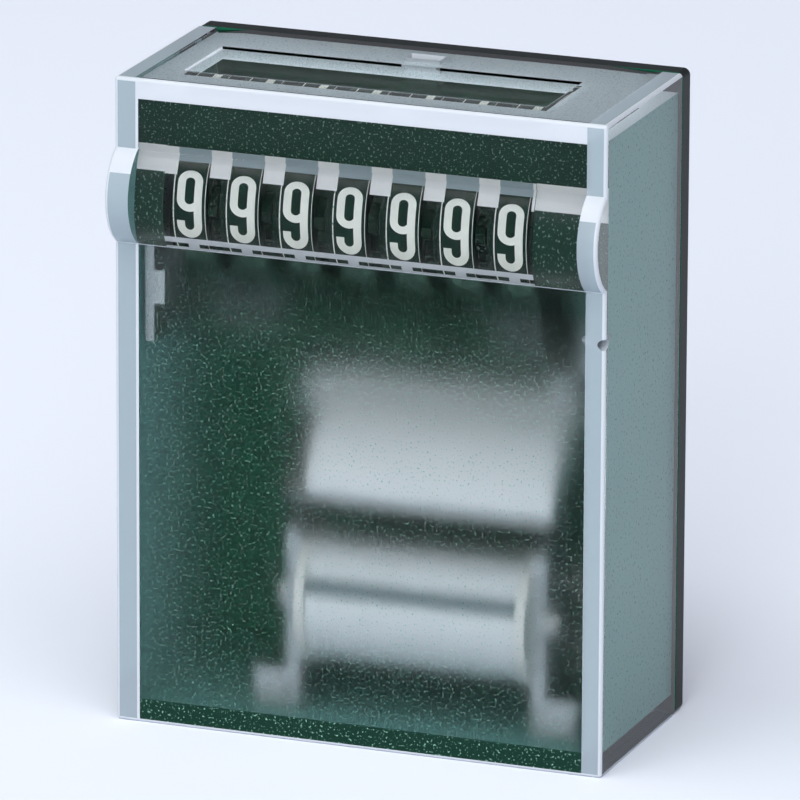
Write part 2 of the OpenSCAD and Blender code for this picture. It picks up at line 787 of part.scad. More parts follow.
module armature_rivets() {
  color("silver")
    for (x = rivet_places) {
      plate_pin(x, -1.5, armature_t + 0.2, 0.6);
      plate_pin(x, armature_t, armature_t + 0.5, 1.1);
    }
}

module rocker_pin() {
  color("silver")
    bar_x(x_ear_left - 0.3, y_pivot, z_pivot, x_ear_right + ear_t - x_ear_left + 0.6, rocker_pin_r);
}

module drive_pawl() {
  color("silver")
    difference() {
      blade(0);
      blade_rivet(0, hole_gap, 1.4);
    }
}

module pawl_rivet() {
  color("silver")
    blade_rivet(0, 0, 1.4);
}

module detent_blade() {
  color("silver")
    difference() {
      blade(108);
      blade_rivet(108, hole_gap, 1.4);
    }
}

module detent_rivet() {
  color("silver")
    blade_rivet(108, 0, 1.4);
}

// Coiled return spring with an open loop at each end
module return_spring() {
  y1 = spring_front + loop_r;
  y2 = spring_rear - loop_r;
  out = [-1, 0, 0];
  steps = 8 * spring_curls;
  climb = (y2 - y1) / steps;
  front = [for (i = [0:7]) let (b = -270 + 270 * i / 8)
    [[x_spring - spring_r, spring_front + loop_r * cos(b), spring_z + loop_r * sin(b)], [0, -sin(b), cos(b)], out]];
  curls = [for (i = [0:steps]) let (a = 45 * i)
    [[x_spring - spring_r * cos(a), y1 + i * climb, spring_z + spring_r * sin(a)],
      unit([spring_r * sin(a), climb * 8 / (2 * PI), spring_r * cos(a)]), [-cos(a), 0, sin(a)]]];
  rear = [for (i = [1:8]) let (b = 270 * i / 8)
    [[x_spring - spring_r, spring_rear - loop_r * cos(b), spring_z + loop_r * sin(b)], [0, sin(b), cos(b)], out]];
  color("silver")
    wire(concat(front, curls, rear), spring_wire_r, 6);
}

// Rubber buffer with a stem in the base plate's post
module rest_buffer() {
  color("black") {
    bar_y(x_arm + arm_w / 2, buffer_y, z_pivot + 4.2, 1.5, 1);
    bar_y(x_arm + arm_w / 2, buffer_seat - bond, z_pivot + 4.2, 1.4 + bond, 0.5);
  }
}

module coil_bobbin() {
  tube_r = core_r + hole_gap + bobbin_wall;
  color("linen")
    difference() {
      union() {
        bar_x(x_coil_left, y_coil, z_coil, coil_len, tube_r);
        for (x = [x_coil_left, x_coil_right - flange_t])
          bar_x(x, y_coil, z_coil, flange_t, flange_r);
      }
      bar_x(x_coil_left - 1, y_coil, z_coil, coil_len + 2, core_r + hole_gap);
      for (dz = tag_rise)
        bar_x(x_coil_right - 0.72, tag_y, z_coil + dz, 2, 0.35 + hole_gap);
    }
}

// A sleeve between the flanges
module coil_sleeve(inner, outer) {
  x0 = x_coil_left + flange_t + 0.02;
  length = coil_len - 2 * flange_t - 0.04;
  difference() {
    bar_x(x0, y_coil, z_coil, length, outer);
    bar_x(x0 - 1, y_coil, z_coil, length + 2, inner);
  }
}

module coil_winding() {
  color("peru")
    coil_sleeve(core_r + bobbin_wall + 2 * hole_gap, flange_r - flange_rim - wrap_t);
}

module coil_wrap() {
  color("ivory")
    coil_sleeve(flange_r - flange_rim - wrap_t + hole_gap, flange_r - flange_rim);
}

module magnet_core() {
  head = 0.8;
  color("silver") {
    bar_x(x_coil_left - leg_play, y_coil, z_coil, coil_len + 2 * leg_play, core_r);
    bar_x(x_leg_left - head, y_coil, z_coil, coil_len + 2 * leg_play + 2 * leg_t + 2 * head, neck_r);
    for (x = [x_leg_left - head, x_leg_right + leg_t])
      bar_x(x, y_coil, z_coil, head, neck_r + 0.7);
  }
}

// A point on the line where the attracted armature stops, at distance r from the rocker pin
function pole_point(r) = [y_pivot, z_pivot] + r * polar(1, chord + swing)
  + (armature_t + pole_gap) * polar(1, chord + swing + 90);

// A pole leg with its slanted pole face and its foot; "side" is -1 for the left leg
module pole_leg(x, side) {
  pole_low = pole_point(rocker_len - 0.4);
  pole_high = pole_point(rocker_len - 4.2);
  foot_x = side < 0 ? x - foot_w : x;
  post_x = side < 0 ? x_post_left : x_post_right;
  color("lightgray")
    difference() {
      union() {
        across(x)
          linear_extrude(leg_t)
            polygon([
              [y_leg, z_foot],
              [y_leg, pole_low[1] - 1.6],
              pole_low,
              pole_high,
              [y_leg + leg_d, pole_high[1]],
              [y_leg + leg_d, z_foot]]);
        box(foot_x, y_leg, z_foot, foot_w + leg_t, leg_t, foot_h);
      }
      bar_x(x - 1, y_coil, z_coil, leg_t + 2, neck_r + hole_gap);
      bar_y(post_x, y_leg - 1, z_post, leg_t + 2, 0.7 + hole_gap);
    }
}

module pole_leg_left() {
  pole_leg(x_leg_left, -1);
}

module pole_leg_right() {
  pole_leg(x_leg_right, 1);
}

module magnet_screws() {
  color("silver")
    for (x = [x_post_left, x_post_right])
      screw(x, y_leg, z_post, 1.3, 0.8, 0.7, leg_t + 4.5);
}

module wheel_colour() {
  color([0.1, 0.13, 0.12])
    children();
}

clear_cover();
base_plate();
mounting_inserts();
terminal_upper();
terminal_lower();
coil_leads();
movement_frame();
frame_screws();
wheel_axle();
pinion_axle();
axle_clips();
wheel_colour() number_wheel(1);  // number_wheel_1
wheel_colour() number_wheel(2);  // number_wheel_2
wheel_colour() number_wheel(3);  // number_wheel_3
wheel_colour() number_wheel(4);  // number_wheel_4
wheel_colour() number_wheel(5);  // number_wheel_5
wheel_colour() number_wheel(6);  // number_wheel_6
wheel_colour() number_wheel(7);  // number_wheel_7
ratchet_wheel();
transfer_pinion(1);  // transfer_pinion_1
transfer_pinion(2);  // transfer_pinion_2
transfer_pinion(3);  // transfer_pinion_3
transfer_pinion(4);  // transfer_pinion_4
transfer_pinion(5);  // transfer_pinion_5
transfer_pinion(6);  // transfer_pinion_6
rocker();
drive_arm();
armature_plate();
armature_rivets();
rocker_pin();
drive_pawl();
pawl_rivet();
return_spring();
detent_blade();
detent_rivet();
rest_buffer();
coil_bobbin();
coil_winding();
coil_wrap();
coil_tags();
magnet_core();
pole_leg_left();
pole_leg_right();
magnet_screws();
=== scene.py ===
# %% [markdown]
# # A seven-figure electromechanical counter
# The counter is a small clear box on a black rear plate. A lens bar runs across its front, and behind the
# frosted walls stand seven number wheels, a white rocker and a magnet coil. The solid parts come from the
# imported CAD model, which is loaded first and stays where it is. This lesson rebuilds the clear cover,
# prints the figures on the wheels and gives every piece its real finish.

# %% Load the CAD model
import json
import math

import bmesh
import bpy
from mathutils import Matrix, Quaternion, Vector


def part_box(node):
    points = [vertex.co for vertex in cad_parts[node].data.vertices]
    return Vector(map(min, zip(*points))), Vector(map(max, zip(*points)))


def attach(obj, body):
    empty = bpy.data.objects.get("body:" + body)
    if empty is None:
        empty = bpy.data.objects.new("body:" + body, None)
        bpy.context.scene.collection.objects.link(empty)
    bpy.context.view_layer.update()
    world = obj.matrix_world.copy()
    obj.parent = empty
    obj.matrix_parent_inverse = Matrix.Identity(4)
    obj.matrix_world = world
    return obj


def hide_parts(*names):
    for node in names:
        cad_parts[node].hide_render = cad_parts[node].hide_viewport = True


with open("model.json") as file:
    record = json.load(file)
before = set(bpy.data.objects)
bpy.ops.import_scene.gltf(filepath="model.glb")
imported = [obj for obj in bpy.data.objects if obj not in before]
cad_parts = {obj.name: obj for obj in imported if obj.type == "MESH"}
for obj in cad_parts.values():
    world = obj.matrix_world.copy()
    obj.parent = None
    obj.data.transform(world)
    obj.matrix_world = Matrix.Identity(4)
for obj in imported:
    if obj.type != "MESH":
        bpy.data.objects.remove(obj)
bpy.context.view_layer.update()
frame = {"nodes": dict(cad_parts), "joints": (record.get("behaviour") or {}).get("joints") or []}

MM = 0.001
scene = bpy.context.scene
scene.view_settings.view_transform = "Standard"

# %% [markdown]
# ## Camera
# The picture was taken from the right and a little above with a long lens, so upright edges stay nearly
# parallel. Angle and distance were worked out from the corners of the box, and a small shift puts its
# middle where the picture has it.

# %% Camera
yaw, pitch, roll = (math.radians(angle) for angle in (20.88, 16.31, 0.25))
box_middle = Vector((0, -2.27, 29)) * MM
stand_off = 0.908
picture_px = 800
shift_right_px, shift_up_px = -1.5, -4.3
backward = Vector((math.sin(yaw) * math.cos(pitch), -math.cos(yaw) * math.cos(pitch), math.sin(pitch)))
lens_data = bpy.data.cameras.new("portrait_camera")
lens_data.sensor_width = 36
lens_data.lens = 471
lens_data.shift_x = shift_right_px / picture_px
lens_data.shift_y = shift_up_px / picture_px
camera = bpy.data.objects.new("portrait_camera", lens_data)
camera.location = box_middle + backward * stand_off
camera.rotation_mode = "QUATERNION"
camera.rotation_quaternion = (-backward).to_track_quat("-Z", "Y") @ Quaternion((0, 0, 1), roll)
scene.collection.objects.link(camera)
scene.camera = camera
print("camera stands", round(camera.location.length, 3), "m away")

# %% [markdown]
# ## Helpers for colour, nodes and meshes
# A colour is written as the hex value that a picture would show. Shaders reckon in linear light, so one
# function converts it. A second one adds a node, sets it and links it in a single line. A third picks the
# vertices out of what a mesh operator returns, because a pulled or turned shape is mostly moved by them.


# %% Colour, node and mesh helpers
def tone(hex_code):
    parts = [int(hex_code[i:i + 2], 16) / 255 for i in (1, 3, 5)]
    return tuple(c / 12.92 if c <= 0.04045 else ((c + 0.055) / 1.055) ** 2.4 for c in parts) + (1,)


def add(tree, kind, sockets=None, **settings):
    node = tree.nodes.new(kind)
    for name, value in settings.items():
        setattr(node, name, value)
    for name, value in (sockets or {}).items():
        if isinstance(value, bpy.types.NodeSocket):
            tree.links.new(value, node.inputs[name])
        else:
            node.inputs[name].default_value = value
    return node


def blank_finish(name):
    finish = bpy.data.materials.new(name)
    finish.use_nodes = True
    finish.node_tree.nodes.clear()
    return finish, finish.node_tree


def corners_in(geometry):
    return [item for item in geometry if isinstance(item, bmesh.types.BMVert)]


print("a mid grey is", [round(c, 3) for c in tone("#808080")])

# %% [markdown]
# ## Floor and backdrop
# The counter stands on pale lavender paper. A wide disc with a low wall round its rim fills the picture
# from every side and takes the soft shadow of the box. A plain diffuse shader is enough, because matt
# paper scatters light evenly and the eye sees one tone without gloss.

# %% Floor
PAPER = "#E9EEF9"
FLOOR_RADIUS, WALL_HEIGHT = 9, 1.2


def studio_floor():
    bm = bmesh.new()
    bmesh.ops.create_circle(bm, cap_ends=True, segments=96, radius=FLOOR_RADIUS)
    rim = [edge for edge in bm.edges if edge.is_boundary]
    raised = bmesh.ops.extrude_edge_only(bm, edges=rim)["geom"]
    bmesh.ops.translate(bm, verts=corners_in(raised), vec=(0, 0, WALL_HEIGHT))
    mesh = bpy.data.meshes.new("studio_floor")
    bm.to_mesh(mesh)
    bm.free()
    floor = bpy.data.objects.new("studio_floor", mesh)
    scene.collection.objects.link(floor)
    paper, tree = blank_finish("matt_lavender_paper")
    skin = add(tree, "ShaderNodeBsdfDiffuse", {"Color": tone(PAPER)})
    add(tree, "ShaderNodeOutputMaterial", {"Surface": skin.outputs[0]})
    mesh.materials.append(paper)
    return floor


print("floor with", len(studio_floor().data.polygons), "faces")

# %% [markdown]
# ## Light
# Most of the light comes from a wide sheet overhead and in front: a sun lamp whose disc is 70 degrees
# wide, so its shadows are soft. A long strip above the left draws a pale line along the lens bar. A square
# card before the front lights the rocker and the coil through the frosted wall, and a grid on it, the
# spread of the lamp, keeps it off the paper. The pale surroundings fill in the rest. Together they light
# the paper at about the level at which a colour renders as it is written.

# %% Light
SHEET_WIDTH_DEG, WIDE_OPEN_DEG, GRID_DEG = 70, 180, 60
aim = Vector((0, -0.01, 0.035))


def hang_lamp(lamp, spot, direction):
    holder = bpy.data.objects.new(lamp.name, lamp)
    holder.location = spot
    holder.rotation_mode = "QUATERNION"
    holder.rotation_quaternion = direction.to_track_quat("-Z", "Y")
    scene.collection.objects.link(holder)


def soft_box(name, spot, size, watts, spread_deg):
    lamp = bpy.data.lights.new(name, "AREA")
    lamp.shape = "RECTANGLE"
    lamp.size, lamp.size_y = size
    lamp.energy = watts
    lamp.spread = math.radians(spread_deg)
    hang_lamp(lamp, spot, aim - spot)


sheet = bpy.data.lights.new("overhead_sheet", "SUN")
sheet.energy = 2.0
sheet.angle = math.radians(SHEET_WIDTH_DEG)
hang_lamp(sheet, Vector((0, 0, 0)), Vector((-0.25, 0.75, -1.0)))
soft_box("lens_strip", Vector((-0.19, -0.165, 0.54)), (0.4, 0.09), 0.8, WIDE_OPEN_DEG)
soft_box("front_card", Vector((0.12, -0.8, 0.3)), (0.5, 0.5), 0.48, GRID_DEG)

world = bpy.data.worlds.new("pale_studio")
scene.world = world
world.use_nodes = True
world.node_tree.nodes.clear()
glow = add(world.node_tree, "ShaderNodeBackground", {"Color": tone(PAPER), "Strength": 0.3})
add(world.node_tree, "ShaderNodeOutputWorld", {"Surface": glow.outputs[0]})

# %% [markdown]
# ## Clear polycarbonate
# The cover is one moulding of clear plastic. What differs from wall to wall is how the mould was finished:
# a polished mould gives a window, a spark-eroded one a frosted skin, and a blasted one a milky skin. One
# function makes them all. It is a shader that lets light through, and the rough skins get a grain of small
# craters that are less clear than the skin round them. Real craters are finer than a tenth of a millimetre
# and wouldn't show, so the grain is drawn coarser. The real plastic has a refractive index of 1.585. Some
# inner skins get a lower one, because a single rough surface with the full index blurs and mirrors more
# than the moulded wall in the picture does.


# %% Clear plastic
def clear_plastic(name, roughness, tint, through, shine, speck=None, veil=0.1, grain_mm=0.2, index=1.585):
    """A skin that lets a share of light through; its craters have the speck colour and the veil's share."""
    finish, tree = blank_finish(name)
    skin = add(tree, "ShaderNodeBsdfPrincipled", {
        "Base Color": tone(tint), "Roughness": roughness, "IOR": index, "Transmission Weight": through,
        "Specular Tint": tone(shine)})
    if speck:
        place = add(tree, "ShaderNodeTexCoord")
        grain = add(tree, "ShaderNodeTexNoise", {
            "Vector": place.outputs["Object"], "Scale": 1 / (grain_mm * MM), "Detail": 1})
        crater = add(tree, "ShaderNodeMapRange", {
            "Value": grain.outputs[0], "From Min": 0.6, "From Max": 0.74})
        colour = add(tree, "ShaderNodeMix", {
            0: crater.outputs[0], 6: tone(tint), 7: tone(speck)}, data_type="RGBA")
        clear = add(tree, "ShaderNodeMapRange", {
            "Value": crater.outputs[0], "To Min": through, "To Max": veil})
        bump = add(tree, "ShaderNodeBump", {
            "Height": grain.outputs[0], "Strength": 0.1, "Distance": 0.08 * grain_mm * MM})
        tree.links.new(colour.outputs[2], skin.inputs["Base Color"])
        tree.links.new(clear.outputs[0], skin.inputs["Transmission Weight"])
        tree.links.new(bump.outputs[0], skin.inputs["Normal"])
    add(tree, "ShaderNodeOutputMaterial", {"Surface": skin.outputs[0]})
    return finish


print("clear plastic can be mixed")

# %% [markdown]
# ## Skins of the box
# The walls come first. The eye knows them apart by how much they hide: the polished skin hides nothing,
# the eroded front wall turns what stands behind it into soft patches with fine pale dots, and the side
# walls and the roof are so dull that they show their own colour. The roof is painted paler than the sides,
# as lit from above.

# %% Skins of the box
# Polished outside: clear, with a weak mirror image.
polished = clear_plastic("polycarbonate_polished", 0.03, "#FBFEFD", 1, "#404040")
# Spark-eroded inside of the front: near things are soft, far things dim clouds, and pale dots lie on them.
frosted = clear_plastic("polycarbonate_spark_eroded", 0.75, "#FBFDFE", 1, "#606060",
                        speck="#9AD3BE", veil=0.4, grain_mm=0.22, index=1.25)
# Deep-eroded strips: dark green with pale dots, and little shows through. On the bottom border of the front
# this dark skin is a painted dark reflection of the dark things below.
dense_frost = clear_plastic("polycarbonate_deep_eroded", 0.8, "#1B4537", 0.5, "#606060",
                            speck="#92C6B3", veil=0.3, grain_mm=0.22)
# Sand-blasted side walls: a dull grey green with a darker grain.
milky = clear_plastic("polycarbonate_sand_blasted", 0.5, "#80B8B3", 0.15, "#707070",
                      speck="#3F7771", grain_mm=0.3)
# Blasted roof: a dull pale blue, painted lighter than the sides as lit from above.
roof_skin_painted_lit = clear_plastic("polycarbonate_blasted_roof_painted_lit", 0.5, "#E2F0F8", 0.2, "#707070",
                          speck="#7FA2B4", grain_mm=0.15)
# Black lacquer on the rear rim: a dark line where the cover meets the plate.
black_seam = clear_plastic("polycarbonate_black_lacquered_seam", 0.5, "#101615", 0, "#707070")
box_skins = (polished, frosted, dense_frost, milky, roof_skin_painted_lit, black_seam)
print("box skins:", ", ".join(finish.name for finish in box_skins))

# %% [markdown]
# ## Skins of the windows and the borders
# The lens bar and its inner pane are polished. Strips on the pane carry painted light above the figures:
# a white band, which is a painted highlight, and grey combs, which are the wheel tops painted as lit. Where
# light that runs inside the plastic comes out again, at edges and borders, the plastic glows pale. That glow
# is drawn as a pale skin that lets less light through.

# %% Skins of the windows and the borders
# Lens bar: the clearest skin of all.
lens_skin = clear_plastic("polycarbonate_lens_polished", 0.02, "#FBFEFD", 1, "#404040")
# Pane behind the lens: as clear, and it mirrors little, so the wheels stay visible from above.
pane_skin = clear_plastic("polycarbonate_window_pane", 0.02, "#FBFEFD", 1, "#404040", index=1.15)
# Top window and the gaps between the wheels: clear, with a faint green grain.
top_pane = clear_plastic("polycarbonate_top_window", 0.06, "#FBFEFD", 1, "#404040",
                         speck="#1F7A5A", veil=0.6, grain_mm=0.12, index=1.06)
# Painted highlight strip: a dull white, the bright band along the top of the lens.
painted_highlight_skin = clear_plastic("polycarbonate_painted_highlight_strip", 0.6, "#F8FAFB", 0.2, "#707070")
# Painted lit comb: a dull grey that lets a third through, the lit tops of the wheels.
painted_lit_comb_skin = clear_plastic("polycarbonate_painted_lit_comb", 0.6, "#A8BAC2", 0.35, "#707070")
# Lit border: a pale blue grey, half clear.
lit_edge = clear_plastic("polycarbonate_lit_edge", 0.25, "#B4C2CC", 0.4, "#707070")
# Lit rim: nearly white, as a thin edge looks.
lit_rim = clear_plastic("polycarbonate_lit_rim", 0.3, "#CDD3DB", 0.15, "#707070")
cover_finishes = [polished, frosted, dense_frost, milky, roof_skin_painted_lit, top_pane, lens_skin, painted_highlight_skin,
                  painted_lit_comb_skin, lit_edge, lit_rim, black_seam, pane_skin]
(CLEAR, FROST, DENSE, MILKY, LIT_ROOF, SIGHT, LENS, HIGHLIGHT_BAND,
 LIT_COMB, EDGE, RIM, SEAM, PANE) = range(len(cover_finishes))
print("the cover wears", len(cover_finishes), "finishes")

# %% [markdown]
# ## The clear cover
# The cover is a box without a back, with a lens bar across its front. It could be built from separate
# plates, but one closed mesh bends light the right way. Its side view is drawn once, as a line with one
# round part, and pulled across to the right. All sizes follow the CAD cover, and the lens sits at the
# height of the wheel axle.

# %% Cover sizes
NEAR = 1e-6
cover_low, cover_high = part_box("clear_cover")
wall = 1.8 * MM
lens_height = 8.5 * MM
lens_bulge = 2.4 * MM
step = 0.25 * MM
front = cover_low.y + lens_bulge
inside = front + wall
seam = cover_high.y
mid_height = (cover_low.z + cover_high.z) / 2
places = {joint["name"]: Vector(joint["pos_m"]) for joint in frame["joints"]}
axle = places["wheel_4_turn"]
lens_low, lens_high = axle.z - lens_height / 2, axle.z + lens_height / 2
lens_radius = (lens_height ** 2 / 4 + lens_bulge ** 2) / (2 * lens_bulge)
lens_axis = Vector((cover_low.x, cover_low.y + lens_radius, axle.z))
print("lens radius in mm:", round(lens_radius / MM, 3))


# %% Draw the side view and pull it across
def cover_block(bm):
    half = math.asin(lens_height / 2 / lens_radius)
    corners = [bm.verts.new((cover_low.x, y, z)) for y, z in (
        (seam, cover_low.z), (front, cover_low.z), (front, lens_low))]
    for i in (0, 1):
        bm.edges.new(corners[i:i + 2])
    turned = bmesh.ops.spin(bm, geom=[corners[2]], cent=lens_axis, axis=(1, 0, 0), angle=-2 * half, steps=40)
    arc_end = corners_in(turned["geom_last"])[0]
    upper = [bm.verts.new((cover_low.x, y, cover_high.z)) for y in (front, seam)]
    bm.edges.new((arc_end, upper[0]))
    bm.edges.new(upper)
    bm.edges.new((upper[1], corners[0]))
    side = bmesh.ops.contextual_create(bm, geom=list(bm.edges))["faces"]
    pulled = bmesh.ops.extrude_face_region(bm, geom=side)["geom"]
    bmesh.ops.translate(bm, verts=corners_in(pulled), vec=(cover_high.x - cover_low.x, 0, 0))
    bmesh.ops.recalc_face_normals(bm, faces=bm.faces)


cover_mesh = bmesh.new()
cover_block(cover_mesh)
print("cover block:", len(cover_mesh.faces), "faces")

# %% [markdown]
# ## Tools for cutting faces
# A window is a shallow step in a wall. Planes cut a rectangle out of a face, and that rectangle is pushed
# in. A knife or a boolean could do it too, but a plane cut leaves clean faces, and each of them can wear
# its own finish. So a few small tools find a face, slice faces along a plane and push one face.

# %% Find, slice and push faces
X_AXIS, Y_AXIS, Z_AXIS = range(3)


def face_at(bm, point, normal):
    """The flat face that holds this point and looks this way."""
    hair = NEAR / 10
    for face in bm.faces:
        if face.normal.dot(Vector(normal)) > 0.99:
            spans = [[v.co[i] for v in face.verts] for i in range(3)]
            if all(min(s) - hair <= p <= max(s) + hair for s, p in zip(spans, point)):
                return face


def slice_faces(bm, faces, axis_number, place):
    """Cuts these faces along the plane on which one axis has this value."""
    around = list(dict.fromkeys(item for face in faces for item in (face, *face.edges, *face.verts)))
    across = Vector((0, 0, 0))
    across[axis_number] = 1
    bmesh.ops.bisect_plane(bm, geom=around, dist=NEAR / 100, plane_co=across * place, plane_no=across)


def cut_rectangle(bm, point, normal, limits):
    """Cuts the face round the point along planes given as (axis number, place)."""
    for axis_number, place in limits:
        slice_faces(bm, [face_at(bm, point, normal)], axis_number, place)
    return face_at(bm, point, normal)


def push(bm, face, vector):
    moved = bmesh.ops.extrude_face_region(bm, geom=[face])["geom"]
    bmesh.ops.delete(bm, geom=[face], context="FACES_ONLY")
    bmesh.ops.translate(bm, verts=corners_in(moved), vec=vector)
    return next(item for item in moved if isinstance(item, bmesh.types.BMFace))


lower_front = face_at(cover_mesh, (0, front, 20 * MM), (0, -1, 0))
print("the front below the lens measures", round(lower_front.calc_area() / MM ** 2), "mm2")

# %% [markdown]
# ## The hollow and the window behind the lens
# The rear face is inset by the wall thickness and pushed forward, which makes the hollow. Its walls get
# their skins at once: the front wall is eroded, the sides are blasted and the ceiling is painted paler, as
# lit from above. The window behind the lens is a polished step in the front wall, a little wider than the
# row of wheels.

# %% Hollow the block and set the front window
rear = face_at(cover_mesh, (0, seam, mid_height), (0, 1, 0))
bmesh.ops.inset_region(cover_mesh, faces=[rear], thickness=wall, use_even_offset=True)
hollow = push(cover_mesh, rear, (0, inside - seam, 0))
hollow.material_index = FROST
# The ceiling wears the paler roof skin, painted as lit from above; the other walls wear the side skin.
for edge in hollow.edges:
    for face in edge.link_faces:
        if face is not hollow:
            face.material_index = LIT_ROOF if face.calc_center_median().z > axle.z else MILKY

wheel_margin, pane_margin = 2.2 * MM, 0.3 * MM
window_left = places["wheel_7_turn"].x - wheel_margin
window_right = places["wheel_1_turn"].x + wheel_margin
middle_x = (window_left + window_right) / 2
pane_low, pane_high = lens_low - pane_margin, lens_high + pane_margin
cut_rectangle(cover_mesh, (0, inside, axle.z), (0, 1, 0), [(Z_AXIS, pane_high)])
pane = cut_rectangle(cover_mesh, (middle_x, inside, axle.z), (0, 1, 0), [
    (X_AXIS, window_left), (X_AXIS, window_right), (Z_AXIS, pane_low)])
push(cover_mesh, pane, (0, -step, 0)).material_index = PANE
pane_size = (window_right - window_left, pane_high - pane_low)
print("front window in mm:", [round(length / MM, 1) for length in pane_size])

# %% [markdown]
# ## Painted light on the window
# In the picture a white band with grey teeth hangs over the figures, and a dashed double line runs below
# them. They are painted on strips of the pane: the band is a painted highlight along the top of the lens,
# the teeth are the wheel tops painted as lit, and the dashes are a painted highlight along the foot of the
# lens.
# The pane is sliced at their levels and beside each wheel. The eye looks in slantwise, so the strips stand a
# little to the right of the wheels they belong to.

# %% Slice the pane
half_drum, half_dash = 1.5 * MM, 0.5 * MM
slant_shift = 0.45 * MM
highlight_from, lit_comb_from = axle.z + 1.45 * MM, axle.z + 2.5 * MM
lines = [axle.z - drop * MM for drop in (3.66, 3.2, 2.85, 2.45)]
wheel_places = [places[f"wheel_{number}_turn"].x + slant_shift for number in range(1, 8)]


def pane_faces(bm):
    return [face for face in bm.faces if face.normal.y > 0.99
            and abs(face.calc_center_median().y - inside + step) < NEAR]


for x in (window_left - MM, window_right + MM):
    cut_rectangle(cover_mesh, (x, inside, axle.z), (0, 1, 0), [(Z_AXIS, highlight_from), (Z_AXIS, pane_low)])
for level in (highlight_from, lit_comb_from, *lines):
    slice_faces(cover_mesh, pane_faces(cover_mesh), Z_AXIS, level)
for x in wheel_places:
    for aside in (-half_drum, -half_dash, half_dash, half_drum):
        slice_faces(cover_mesh, pane_faces(cover_mesh), X_AXIS, x + aside)
print("pane cut into", len(pane_faces(cover_mesh)), "faces")

# %% Give each strip its finish
# Painted light: the white strips are a painted highlight, the grey combs the wheel tops painted as lit, and
# the dashes a painted highlight at the lens foot.
for face in cover_mesh.faces:
    spot = face.calc_center_median()
    if face.normal.y < 0.99 or spot.y > inside + NEAR:
        continue
    off_drum = min(abs(spot.x - x) for x in wheel_places)
    in_window = spot.y < inside - NEAR
    if spot.z > pane_high:
        face.material_index = DENSE
    elif spot.z > highlight_from and (off_drum > half_drum or not in_window):
        face.material_index = HIGHLIGHT_BAND
    elif spot.z > lit_comb_from:
        face.material_index = LIT_COMB
    elif in_window and lines[0] < spot.z < lines[3]:
        middle_row = lines[1] < spot.z < lines[2]
        if off_drum < half_dash or not middle_row:
            face.material_index = RIM
    elif in_window and off_drum > half_drum:
        face.material_index = SIGHT
    elif not in_window and spot.z > pane_low:
        face.material_index = DENSE
print("white strips:", sum(face.material_index == HIGHLIGHT_BAND for face in cover_mesh.faces))

# %% [markdown]
# ## Painted shade on the frost under the lens
# Just below the lens the front wall shows hardly any of the wheels behind it. Shade is painted into the
# eroded
# skin there: it darkens softly from the rocker's height up to the lens, where the wheels above keep the
# light off, but not at the left edge, where the pale frame cheek shows. The painted shade is a mix by height
# and by width, read from the piece's own coordinates.

# %% Paint shade on the frost
PAINTED_SHADE_FROM, PAINTED_SHADE_FULL = 36 * MM, 41 * MM
CHEEK_END, PAINTED_SHADE_LEFT = -18.5 * MM, -16 * MM
tree = frosted.node_tree
skin = tree.nodes["Principled BSDF"]
place = add(tree, "ShaderNodeTexCoord")
where = add(tree, "ShaderNodeSeparateXYZ", {0: place.outputs["Object"]})
upward = add(tree, "ShaderNodeMapRange", {
    "Value": where.outputs["Z"], "From Min": PAINTED_SHADE_FROM, "From Max": PAINTED_SHADE_FULL})
rightward = add(tree, "ShaderNodeMapRange", {
    "Value": where.outputs["X"], "From Min": CHEEK_END, "From Max": PAINTED_SHADE_LEFT})
# Painted shade: the frost turns dark green towards the lens.
painted_shade = add(tree, "ShaderNodeMath", {0: upward.outputs[0], 1: rightward.outputs[0]}, operation="MULTIPLY")
darkened = add(tree, "ShaderNodeMix", {
    0: painted_shade.outputs[0], 6: skin.inputs["Base Color"].links[0].from_socket, 7: tone("#5C8576")},
    data_type="RGBA")
tree.links.new(darkened.outputs[2], skin.inputs["Base Color"])
print("frost stained from", PAINTED_SHADE_FROM / MM, "to", PAINTED_SHADE_FULL / MM, "mm")

# %% [markdown]
# ## Top window and snap slots
# The roof has a second window over the wheels, a shallow step again, and a slot at its rear where a hook
# of the rear plate snaps in; the bottom has the same slot. For a slot, the same rectangle is cut out of
# the outer and the inner face, both are deleted, and the two loops of edges are bridged.

# %% Top window
roof, ceiling = cover_high.z, cover_high.z - wall
window_front, window_rear = front + 4 * MM, front + 13 * MM
window_y = (window_front + window_rear) / 2
window_edges = [(X_AXIS, window_left + pane_margin), (X_AXIS, window_right - pane_margin),
                (Y_AXIS, window_front), (Y_AXIS, window_rear)]
pane = cut_rectangle(cover_mesh, (middle_x, window_y, roof), (0, 0, 1), window_edges)
push(cover_mesh, pane, (0, 0, -step)).material_index = SIGHT
cut_rectangle(cover_mesh, (middle_x, window_y, ceiling), (0, 0, -1), window_edges).material_index = SIGHT
print("top window is", round((window_rear - window_front) / MM, 1), "mm deep")

# %% Snap slots
slot_y = seam - 3.1 * MM
slot_half_width, slot_half_depth = 1.6 * MM, 0.8 * MM
slot_edges = [(X_AXIS, -slot_half_width), (X_AXIS, slot_half_width),
              (Y_AXIS, slot_y - slot_half_depth), (Y_AXIS, slot_y + slot_half_depth)]
for outer, inner, up in ((roof, ceiling, 1), (cover_low.z, cover_low.z + wall, -1)):
    loops = []
    for z, look in ((outer, up), (inner, -up)):
        hole = cut_rectangle(cover_mesh, (0, slot_y, z), (0, 0, look), slot_edges)
        loops += list(hole.edges)
        bmesh.ops.delete(cover_mesh, geom=[hole], context="FACES_ONLY")
    for face in bmesh.ops.bridge_loops(cover_mesh, edges=loops)["faces"]:
        face.material_index = RIM
print("slots are", round(2 * slot_half_width / MM, 1), "mm wide")

# %% [markdown]
# ## Pale borders
# Seen from the front, the side walls and the roof stand edge-on behind the polished front and glow pale,
# so the dark field has a light frame with a fine white line at its left. The front, the lens bar and the
# roof are sliced where those walls begin, and the strips outside get the lit finishes. The rear rim gets
# its black lacquer.

